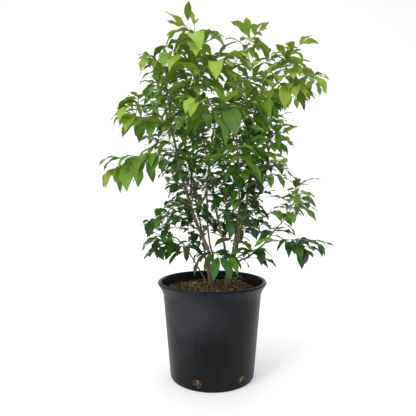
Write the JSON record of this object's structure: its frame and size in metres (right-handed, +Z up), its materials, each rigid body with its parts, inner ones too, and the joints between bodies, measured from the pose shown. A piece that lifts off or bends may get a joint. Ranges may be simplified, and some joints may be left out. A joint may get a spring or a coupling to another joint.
{
  "type": "potted burning bush",
  "caption": "Leafy upright shrub with long pointed green leaves on slender stems, rising from two short trunks in a black plastic nursery pot.",
  "frame": {"origin": "centre of the pot's flat underside, on the surface that the pot stands on", "axes": "+Z up; the pictured side faces -Y, with +X to its right"},
  "size_m": [0.5667, 0.4953, 0.9293],
  "materials": {
    "pot_plastic": "semi-matt moulded black plastic with a soft sheen and light scuffs",
    "potting_mix": "loose shredded bark, brown with golden-tan chips",
    "bark": "grey-tan young bark with fine ridges, darker on thin stems",
    "foliage": "thin green leaves with a soft sheen, yellow-green at the tips and darker inside"
  },
  "bodies": {
    "root": {"pot": "pot_plastic", "potting_mix": "potting_mix", "trunk_left": "bark", "trunk_right": "bark", "bough_low_left": "bark", "stem_left": "bark", "stem_slender": "bark", "stem_back_left": "bark", "stem_right": "bark", "stem_centre": "bark", "stem_front": "bark", "stem_back_right": "bark", "bough_low_right": "bark", "bough_right_outer": "bark", "stem_left_rear": "bark", "bough_left_middle": "bark", "bough_left_upper": "bark", "bough_right_high": "bark", "foliage_crest": "foliage", "foliage_crest_right": "foliage", "foliage_crest_left": "foliage", "foliage_crest_middle": "foliage", "foliage_shoulder_right": "foliage", "foliage_shoulder_left": "foliage", "foliage_arm_left": "foliage", "foliage_front": "foliage", "foliage_front_middle": "foliage", "foliage_arm_right": "foliage", "foliage_low_right": "foliage", "foliage_low_outer": "foliage", "foliage_low_left": "foliage", "foliage_low_left_outer": "foliage", "foliage_inner_left": "foliage", "foliage_inner_right": "foliage", "foliage_inner_middle": "foliage", "foliage_back_left": "foliage", "foliage_back_right": "foliage", "foliage_arm_back_left": "foliage", "foliage_arm_back_right": "foliage", "foliage_low_back_left": "foliage", "foliage_low_back_right": "foliage", "foliage_heart_left": "foliage", "foliage_heart_low_left": "foliage", "foliage_heart_centre": "foliage", "foliage_heart_right": "foliage", "foliage_heart_low_right": "foliage", "foliage_foot_front": "foliage", "foliage_foot_right": "foliage"}
  },
  "joints": []
}
